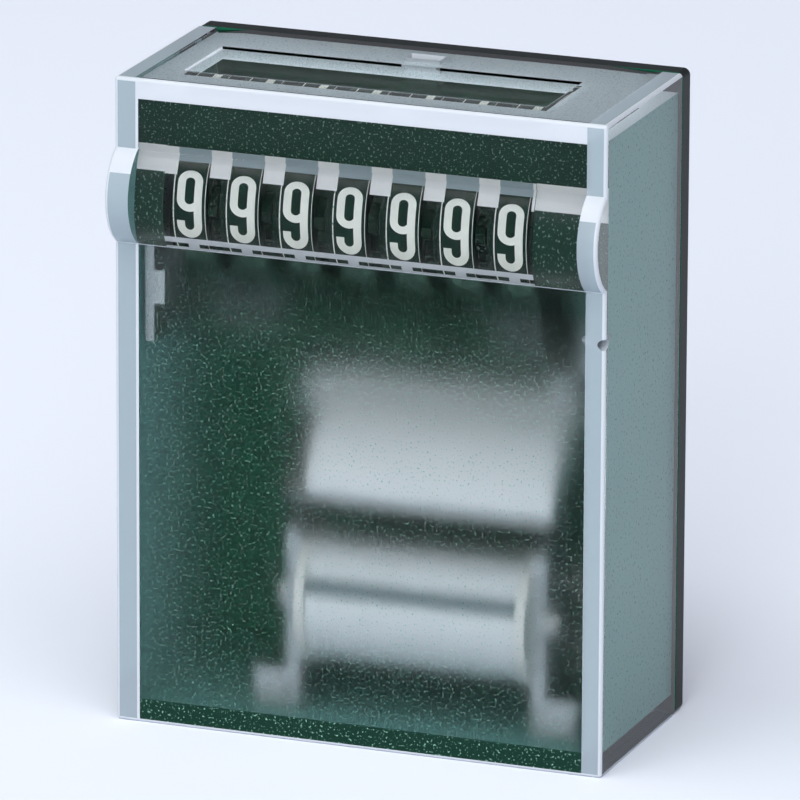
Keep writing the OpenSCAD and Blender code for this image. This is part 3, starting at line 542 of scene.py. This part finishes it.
# %% Slice the borders
cheek = cover_high.x - wall
left_cut, low_cut = -cheek + 0.4 * MM, cover_low.z + wall + 0.35 * MM
line_cut = left_cut - 0.25 * MM
above_lens, below_lens = (lens_high + roof) / 2, 20 * MM
for height, level in ((above_lens, ceiling), (below_lens, low_cut)):
    cut_rectangle(cover_mesh, (0, front, height), (0, -1, 0), [
        (X_AXIS, left_cut), (X_AXIS, cheek), (Z_AXIS, level)])
    cut_rectangle(cover_mesh, (left_cut - 0.1 * MM, front, height), (0, -1, 0), [(X_AXIS, line_cut)])
for side in (-1, 1):
    cut_rectangle(cover_mesh, (side * (cheek - MM), window_y, roof), (0, 0, 1), [(X_AXIS, side * cheek)])
for place_x in (left_cut, cheek):
    bulge = [face for face in cover_mesh.faces if face.calc_center_median().y < front - NEAR
             and abs(face.normal.x) < 0.1]
    slice_faces(cover_mesh, bulge, X_AXIS, place_x)
print("borders sliced:", len(cover_mesh.faces), "faces")

# %% Give the borders their finishes
lens_foot = lens_low + 0.15 * MM
# The bottom border of the front wears the dark skin: a painted dark reflection, where the clear wall mirrors
# dark things below.
for face in cover_mesh.faces:
    spot = face.calc_center_median()
    beside = spot.x < left_cut or spot.x > cheek
    on_front = abs(spot.y - front) < NEAR
    if spot.y < front - NEAR and abs(face.normal.x) < 0.1:
        capped = beside and face.normal.z > 0.5
        face.material_index = RIM if spot.z < lens_foot or capped else EDGE if beside else LENS
    elif on_front and (spot.z > ceiling or line_cut < spot.x < left_cut):
        face.material_index = RIM
    elif face.normal.z > 0.99 and abs(spot.z - roof) < NEAR and abs(spot.x) > cheek:
        face.material_index = EDGE
    elif on_front and beside:
        face.material_index = EDGE
    elif on_front and spot.z < low_cut:
        face.material_index = DENSE
    elif abs(spot.y - seam) < NEAR:
        face.material_index = SEAM
bmesh.ops.recalc_face_normals(cover_mesh, faces=cover_mesh.faces)
print("lit faces:", sum(face.material_index in (EDGE, RIM) for face in cover_mesh.faces))

# %% [markdown]
# ## Rounded edges
# A moulded edge is never knife sharp, and the small round is what catches the light; the rounds also wear
# the pale lit-rim skin, a painted highlight. Only the outer edges of the box are rounded: all edges on the
# two sides, the upper and lower edges of the front and the short upper edges at the rear corners. A bevel
# with three segments is enough at this size.


# %% Round the outer edges
def is_outer(edge):
    mid = (edge.verts[0].co + edge.verts[1].co) / 2
    on_side = abs(abs(mid.x) - cover_high.x) < NEAR
    at_end = min(abs(mid.z - cover_low.z), abs(mid.z - cover_high.z)) < NEAR
    on_front = abs(mid.y - front) < NEAR
    rear_corner = abs(mid.y - seam) < NEAR and abs(mid.x) > cheek
    return edge.is_convex and (on_side or (at_end and (on_front or rear_corner)))


sharp = [edge for edge in cover_mesh.edges if len(edge.link_faces) == 2 and edge.calc_face_angle(0) > 0.5]
rounds = [edge for edge in sharp if is_outer(edge)]
rounded = bmesh.ops.bevel(cover_mesh, geom=rounds, offset=0.3 * MM, offset_type="OFFSET", affect="EDGES",
                          segments=3, profile=0.5, material=-1, clamp_overlap=True)["faces"]
# Painted highlight: the rounds wear the pale lit-rim skin.
for face in rounded:
    face.material_index = RIM
print("rounded", len(rounds), "outer edges")

# %% [markdown]
# ## The seal hole
# A fine hole for a seal wire runs slantwise through the right front edge. It cuts two faces and a round at
# once, so a boolean with a thin round bar is the shortest way. The bar wears the pale rim finish, which
# passes on to the wall of the hole. After that the cover is done and takes the place of the CAD cover.

# %% Drill the seal hole
SMOOTH_ANGLE = math.radians(35)


def make_piece(bm, name, finishes):
    mesh = bpy.data.meshes.new(name)
    bm.to_mesh(mesh)
    bm.free()
    for finish in finishes:
        mesh.materials.append(finish)
    for face in mesh.polygons:
        face.use_smooth = True
    mesh.set_sharp_from_angle(angle=SMOOTH_ANGLE)
    piece = bpy.data.objects.new(name, mesh)
    scene.collection.objects.link(piece)
    return piece


hole_radius, hole_height, edge_distance = 0.5 * MM, 38.7 * MM, 0.71 * MM
cover = make_piece(cover_mesh, "moulded_cover", cover_finishes)
drill = bmesh.new()
bmesh.ops.create_cone(drill, cap_ends=True, segments=32, radius1=hole_radius, radius2=hole_radius,
                      depth=6 * MM)
bmesh.ops.rotate(drill, verts=drill.verts, cent=(0, 0, 0),
                 matrix=Quaternion((1, 1, 0), math.radians(90)).to_matrix())
bmesh.ops.translate(drill, verts=drill.verts,
                    vec=(cover_high.x - edge_distance, front + edge_distance, hole_height))
drill_bar = make_piece(drill, "seal_drill", [lit_rim])
cut = cover.modifiers.new("seal_hole", "BOOLEAN")
cut.object = drill_bar
cut.operation = "DIFFERENCE"
cut.solver = "EXACT"
cut.material_mode = "TRANSFER"
cover.data = bpy.data.meshes.new_from_object(cover.evaluated_get(bpy.context.evaluated_depsgraph_get()))
cover.modifiers.clear()
bpy.data.objects.remove(drill_bar)
cover.data.set_sharp_from_angle(angle=SMOOTH_ANGLE)
even = cover.modifiers.new("flat_faces_stay_flat", "WEIGHTED_NORMAL")
even.keep_sharp = True
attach(cover, "housing")
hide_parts("clear_cover")
print("cover:", len(cover.data.polygons), "faces")

# %% [markdown]
# ## Figures on the number wheels
# Each wheel carries the figures 0 to 9 in white, stamped on its rim. They could come from a font, but a
# broad pen is closer to such stamps: the nib is a short edge that is pushed along straight lines and spun
# round bends, so a figure is a short list of moves. The lens bar makes the wheels look nearly twice as
# tall, so the stamped figures are squat: they are drawn as the eye sees them and pressed down when they
# are wrapped round the rim.

# %% A pen for figures
PEN, REACH, TOP = 0.72, 0.79, 2.94
BEND = TOP - REACH
ARC_STEP_DEG, LINE_STEP = 15, 0.5


def pen_stroke(bm, start, heading, moves):
    """Draws one line. A move is a length to go, or an angle and a radius to turn, left being positive."""
    heading = Vector((*heading, 0)).normalized()
    aside = Vector((-heading.y, heading.x, 0)) * PEN / 2
    spot = Vector((*start, 0))
    nib = bm.edges.new((bm.verts.new(spot + aside), bm.verts.new(spot - aside)))
    for move in moves:
        if isinstance(move, tuple):
            angle, radius = math.radians(move[0]), move[1]
            left = Vector((-heading.y, heading.x, 0)) * math.copysign(radius, angle)
            spun = bmesh.ops.spin(bm, geom=[*nib.verts, nib], cent=spot + left, axis=(0, 0, 1), angle=angle,
                                  steps=max(2, round(abs(move[0]) / ARC_STEP_DEG)))
            nib = next(item for item in spun["geom_last"] if isinstance(item, bmesh.types.BMEdge))
            heading.rotate(Quaternion((0, 0, 1), angle))
        else:
            steps = max(1, round(move / LINE_STEP))
            for _ in range(steps):
                pulled = bmesh.ops.extrude_edge_only(bm, edges=[nib])["geom"]
                ends = corners_in(pulled)
                bmesh.ops.translate(bm, verts=ends, vec=heading * move / steps)
                nib = next(item for item in pulled
                           if isinstance(item, bmesh.types.BMEdge) and set(item.verts) == set(ends))
        spot = (nib.verts[0].co + nib.verts[1].co) / 2


print("a figure is", 2 * TOP + PEN, "tall and", 2 * REACH + PEN, "wide, in mm as seen")

# %% [markdown]
# ## The ten figures
# Every figure is a list of strokes, and a stroke gives where the pen starts, which way it heads and its
# moves. The six is the nine turned half round, as on most number stamps.

# %% Strokes of the ten figures
R = REACH
nine = [((-R, -BEND + 0.4), (0, -1), [0.4, (180, R), 2 * BEND, (180, R), BEND - 0.3, (150, R)])]
FIGURES = {
    0: [((R, -BEND), (0, 1), [2 * BEND, (180, R), 2 * BEND, (180, R)])],
    1: [((0.35, -3.3), (0, 1), [6.6]), ((-0.95, 1.75), (1, 1.1), [1.65])],
    2: [((-R, BEND - 0.4), (0, 1), [0.4, (-180, R), 0.9, (-28, 1.2), 3.1]), ((-1.15, -TOP), (1, 0), [2.3])],
    3: [((-R, BEND - 0.3), (0, 1), [0.3, (-180, R), 1.1, (-90, 0.6), 0.35]),
        ((-0.1, 0.25), (1, 0), [0.3, (-90, 0.6), 1.8, (-180, R), 0.4])],
    4: [((0.2, 3.3), (-0.25, -1), [4.7]), ((-1.15, -1.4), (1, 0), [2.3]), ((0.45, 0.5), (0, -1), [3.8])],
    5: [((1.1, TOP), (-1, 0), [2.25]), ((-0.79, TOP), (0, -1), [2.6]),
        ((-0.85, 0.55), (1, 0), [0.85, (-90, R), 1.75, (-180, R), 0.4])],
    6: [((-x, -y), (-a, -b), moves) for (x, y), (a, b), moves in nine],
    7: [((-1.15, TOP), (1, 0), [2.3]), ((0.75, TOP - 0.2), (-0.19, -1), [6.1])],
    8: [((0.72, 1.1), (0, 1), [BEND - 1.1, (180, 0.72), BEND - 1.1, (180, 0.72)]),
        ((R, -BEND), (0, 1), [1.45, (180, R), 1.45, (180, R)])],
    9: nine,
}
print("figures drawn with", sum(len(strokes) for strokes in FIGURES.values()), "strokes")

# %% [markdown]
# ## Stamping the wheels
# White stamping foil is matt and a little uneven, so it gets two close tones. Each stroke is given the
# thickness of the foil and bent round the rim; where strokes cross, a later one lies a hair higher, so
# that no two faces share a place. The nine sits slightly below the middle of the lens, as in the picture.
# A fine white line, a painted highlight on the rim edges, runs round both edges of each wheel; it is a small
# square section spun full circle.

# %% White stamping foil
# Matt foil: a warm white without gloss, with faint worn patches of about 0.4 mm.
white_ink, tree = blank_finish("white_stamping_foil_matt")
place = add(tree, "ShaderNodeTexCoord")
wear = add(tree, "ShaderNodeTexNoise", {
    "Vector": place.outputs["Object"], "Scale": 1 / (0.4 * MM), "Detail": 3})
ink = add(tree, "ShaderNodeMix", {
    0: wear.outputs[0], 6: tone("#F7F7F2"), 7: tone("#E9EAE4")}, data_type="RGBA")
skin = add(tree, "ShaderNodeBsdfPrincipled", {"Base Color": ink.outputs[2], "Roughness": 0.55, "IOR": 1.5})
add(tree, "ShaderNodeOutputMaterial", {"Surface": skin.outputs[0]})
print("foil ready")

# %% Wrap the figures round each rim
RIM_RADIUS = 7.5 * MM
STRETCH = 0.54
LOWERED = math.radians(3.8)
FIGURE_TURN = math.radians(36)
FOIL, SUNK, LAYER = 0.05, 0.02, 0.006
EDGE_GLINTS = ((-1.44, 0.1), (1.46, 0.05))
GLINT_OUT = 0.03


def bend_round(vertex, figure, centre):
    angle = (figure - 9) * FIGURE_TURN - LOWERED + vertex.co.y * MM * STRETCH / RIM_RADIUS
    out = RIM_RADIUS + (vertex.co.z - SUNK) * MM
    vertex.co = centre + Vector((vertex.co.x * MM, -out * math.cos(angle), out * math.sin(angle)))
    vertex.tag = True


# Painted highlight: a thin white ring where the rim's edge catches the light.
def painted_rim_glint(bm, centre, x, width):
    section = [bm.verts.new(centre + Vector(((x + across * width / 2) * MM, -RIM_RADIUS - out * MM, 0)))
               for across, out in ((-1, -SUNK), (1, -SUNK), (1, GLINT_OUT), (-1, GLINT_OUT))]
    loop = [bm.edges.new((section[i - 1], section[i])) for i in range(4)]
    bmesh.ops.spin(bm, geom=section + loop, cent=centre, axis=(1, 0, 0), angle=2 * math.pi, steps=72,
                   use_merge=True)


def stamped_figures(number):
    centre = places[f"wheel_{number}_turn"]
    whole = bmesh.new()
    for figure, strokes in FIGURES.items():
        for layer, stroke in enumerate(strokes):
            pen_stroke(whole, *stroke)
            bmesh.ops.remove_doubles(whole, verts=[v for v in whole.verts if not v.tag], dist=0.01)
            flat = [face for face in whole.faces if not face.verts[0].tag]
            raised = bmesh.ops.extrude_face_region(whole, geom=flat)["geom"]
            bmesh.ops.translate(whole, verts=corners_in(raised), vec=(0, 0, FOIL + LAYER * layer))
            for vertex in [v for v in whole.verts if not v.tag]:
                bend_round(vertex, figure, centre)
    for x, width in EDGE_GLINTS:
        painted_rim_glint(whole, centre, x, width)
    bmesh.ops.recalc_face_normals(whole, faces=whole.faces)
    piece = make_piece(whole, f"figures_{number}", [white_ink])
    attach(piece, f"wheel_{number}")
    return piece


figure_rings = [stamped_figures(number) for number in range(1, 8)]
print("figure rings:", len(figure_rings), "with", len(figure_rings[0].data.polygons), "faces each")

# %% [markdown]
# ## Moulded plastics, tape and rubber
# Moulded parts are dull where the mould was eroded and show a faint unevenness. Each gets two close tones
# and a grain of a real size in millimetres. The grain also lifts the surface a little, which breaks up the
# highlights.


# %% A function for moulded plastics
def moulded(name, main, shade, roughness, grain_mm, relief, shine=0.5):
    finish, tree = blank_finish(name)
    place = add(tree, "ShaderNodeTexCoord")
    grain = add(tree, "ShaderNodeTexNoise", {
        "Vector": place.outputs["Object"], "Scale": 1 / (grain_mm * MM), "Detail": 3})
    colour = add(tree, "ShaderNodeMix", {
        0: grain.outputs[0], 6: tone(main), 7: tone(shade)}, data_type="RGBA")
    dull = add(tree, "ShaderNodeMapRange", {
        "Value": grain.outputs[0], "To Min": roughness - 0.06, "To Max": roughness + 0.06})
    bump = add(tree, "ShaderNodeBump", {
        "Height": grain.outputs[0], "Strength": relief, "Distance": 0.1 * grain_mm * MM})
    skin = add(tree, "ShaderNodeBsdfPrincipled", {
        "Base Color": colour.outputs[2], "Roughness": dull.outputs[0], "IOR": 1.5, "Normal": bump.outputs[0],
        "Specular IOR Level": shine})
    add(tree, "ShaderNodeOutputMaterial", {"Surface": skin.outputs[0]})
    return finish


print("moulded plastics can be mixed")

# %% Plastics
# Black phenolic: a deep dull black with a fine orange peel.
black_base = moulded("black_phenolic_moulded", "#161C1B", "#0E1413", 0.5, 0.25, 0.5, 0.2)
# Dark acetal: a green that is nearly black, and slightly waxy.
dark_wheel = moulded("dark_acetal_wheel", "#0F3226", "#0A241B", 0.45, 0.3, 0.2, 0.2)
# White acetal: a smooth cool white with a soft sheen.
white_acetal = moulded("white_acetal_moulded", "#EFF3F7", "#E4EAEF", 0.4, 0.5, 0.2)
# Natural nylon: an off-white, a bit duller than acetal.
cream_nylon = moulded("natural_nylon_bobbin", "#E6E9E8", "#D9DDDC", 0.45, 0.5, 0.2)
# Polyester tape: pale and the glossiest of these, wound so tight that it looks smooth.
pale_tape = moulded("pale_polyester_tape", "#E9EFF3", "#DDE4E9", 0.35, 0.8, 0.1)
# Rubber: a flat black with hardly any highlight.
black_rubber = moulded("black_rubber_buffer", "#1A1B1B", "#121313", 0.8, 0.3, 0.4)
# Lead insulation: extruded, an even white with little gloss.
white_sleeve = moulded("white_lead_insulation", "#E6E8E4", "#D6D9D4", 0.45, 0.3, 0.2)
print("plastics ready")

# %% [markdown]
# ## Green lacquer inside the rear plate
# Behind the frost everything that isn't pale looks dark green. The rear plate is black outside and
# lacquered green inside. A separate piece for the lacquer would be a film without thickness, so the
# plate's finish changes its colour where the plate reaches in front of the seam.

# %% Lacquer the inside of the plate
lacquer_limit = seam + 0.005 * MM
tree = black_base.node_tree
skin = tree.nodes["Principled BSDF"]
place = add(tree, "ShaderNodeTexCoord")
where = add(tree, "ShaderNodeSeparateXYZ", {0: place.outputs["Object"]})
within = add(tree, "ShaderNodeMath", {0: where.outputs["Y"], 1: lacquer_limit}, operation="LESS_THAN")
coat = add(tree, "ShaderNodeMix", {
    0: within.outputs[0], 6: skin.inputs["Base Color"].links[0].from_socket, 7: tone("#0A553E")},
    data_type="RGBA")
tree.links.new(coat.outputs[2], skin.inputs["Base Color"])
print("rear plate lacquered in front of y =", round(lacquer_limit / MM, 3), "mm")

# %% [markdown]
# ## Painted dark band on the tape
# The wrapped coil shows two pale bands with a greyer strip between them. The strip is a painted reflection:
# the middle of the glossy coil faces the darker front, while its top and bottom catch light from above and
# below. It has soft edges, so it is mixed into the tape's colour by height: one ramp fades it in and another
# fades it out.

# %% Painted dark band on the tape
fade_in, fade_out = (12.2 * MM, 13.4 * MM), (15 * MM, 13.8 * MM)
tree = pale_tape.node_tree
skin = tree.nodes["Principled BSDF"]
place = add(tree, "ShaderNodeTexCoord")
where = add(tree, "ShaderNodeSeparateXYZ", {0: place.outputs["Object"]})
ramps = [add(tree, "ShaderNodeMapRange", {"Value": where.outputs["Z"], "From Min": low, "From Max": high})
         for low, high in (fade_in, fade_out)]
band = add(tree, "ShaderNodeMath", {0: ramps[0].outputs[0], 1: ramps[1].outputs[0]}, operation="MULTIPLY")
# Painted reflection: a greyer strip round the middle of the glossy tape.
tape_with_painted_band = add(tree, "ShaderNodeMix", {
    0: band.outputs[0], 6: skin.inputs["Base Color"].links[0].from_socket, 7: tone("#74858A")},
    data_type="RGBA")
tree.links.new(tape_with_painted_band.outputs[2], skin.inputs["Base Color"])
print("tape band in mm:", round(fade_in[0] / MM, 1), "to", round(fade_out[0] / MM, 1))

# %% [markdown]
# ## Metals
# Sheet and bar metal keep the marks of rolling, drawing or plating. A noise that is stretched along the
# part gives those fine lines. A metal keeps the default refractive index; its tone is its reflection.


# %% A function for metals
def worked_metal(name, main, shade, roughness, line_mm, stretch):
    finish, tree = blank_finish(name)
    place = add(tree, "ShaderNodeTexCoord")
    drawn = add(tree, "ShaderNodeMapping", {"Vector": place.outputs["Object"], "Scale": stretch})
    marks = add(tree, "ShaderNodeTexNoise", {
        "Vector": drawn.outputs[0], "Scale": 1 / (line_mm * MM), "Detail": 3})
    colour = add(tree, "ShaderNodeMix", {
        0: marks.outputs[0], 6: tone(main), 7: tone(shade)}, data_type="RGBA")
    dull = add(tree, "ShaderNodeMapRange", {
        "Value": marks.outputs[0], "To Min": roughness - 0.07, "To Max": roughness + 0.07})
    skin = add(tree, "ShaderNodeBsdfPrincipled", {
        "Base Color": colour.outputs[2], "Metallic": 1, "Roughness": dull.outputs[0]})
    add(tree, "ShaderNodeOutputMaterial", {"Surface": skin.outputs[0]})
    return finish


print("metals can be mixed")

# %% Metals
# Zinc plate: a pale cool grey with cloudy patches.
zinc_sheet = worked_metal("zinc_plated_sheet_steel", "#BFC6C8", "#A9B0B3", 0.42, 0.4, (1, 1, 1))
# Bright drawn bar: silvery, with fine lines along the axle.
bright_bar = worked_metal("bright_drawn_steel", "#C9CCCD", "#B4B8BA", 0.28, 0.15, (0.05, 1, 1))
# Tempered spring steel: a darker, bluish grey.
spring_steel = worked_metal("tempered_spring_steel", "#9EA3A6", "#8B9094", 0.3, 0.2, (1, 1, 1))
# Blackened steel: nearly black with a dull gleam.
black_steel = worked_metal("blackened_stamped_steel", "#26302D", "#1A2220", 0.45, 0.3, (1, 1, 1))
# Turned brass: warm yellow with tool lines.
turned_brass = worked_metal("turned_brass", "#D9B25F", "#C49B48", 0.3, 0.12, (1, 0.05, 1))
# Tinned brass: a soft silver white with rolling lines.
tinned_brass = worked_metal("tinned_brass_strip", "#D3D4D0", "#BFC0BC", 0.33, 0.2, (1, 0.08, 1))
# Enamelled copper: brown red with the lines of the turns.
enamelled_copper = worked_metal("enamelled_copper_wire", "#B4632E", "#8E4A20", 0.35, 0.15, (1, 0.02, 0.02))
print("metals ready")

# %% [markdown]
# ## Dressing the CAD pieces
# A CAD piece keeps its mesh and place and only swaps its finish. The list says which finish each one
# wears.

# %% Give every CAD piece its finish
wheels = [f"number_wheel_{number}" for number in range(1, 8)]
pinions = [f"transfer_pinion_{number}" for number in range(1, 7)]
WEARS = [
    (black_base, ["base_plate"]),
    (dark_wheel, wheels + pinions),
    (white_acetal, ["rocker"]),
    (cream_nylon, ["coil_bobbin"]),
    (pale_tape, ["coil_wrap"]),
    (black_rubber, ["rest_buffer"]),
    (white_sleeve, ["coil_leads"]),
    (zinc_sheet, ["movement_frame", "magnet_screws", "pole_leg_left", "pole_leg_right"]),
    (bright_bar, ["wheel_axle", "pinion_axle", "rocker_pin", "armature_plate", "armature_rivets",
                  "magnet_core", "ratchet_wheel", "pawl_rivet", "detent_rivet"]),
    (spring_steel, ["axle_clips", "drive_pawl", "detent_blade", "return_spring"]),
    (black_steel, ["drive_arm", "frame_screws"]),
    (turned_brass, ["mounting_inserts"]),
    (tinned_brass, ["terminal_upper", "terminal_lower", "coil_tags"]),
    (enamelled_copper, ["coil_winding"]),
]
for finish, wearers in WEARS:
    for wearer in wearers:
        frame["nodes"][wearer].material_slots[0].material = finish
print("dressed", sum(len(wearers) for _, wearers in WEARS), "of", len(frame["nodes"]), "CAD pieces")
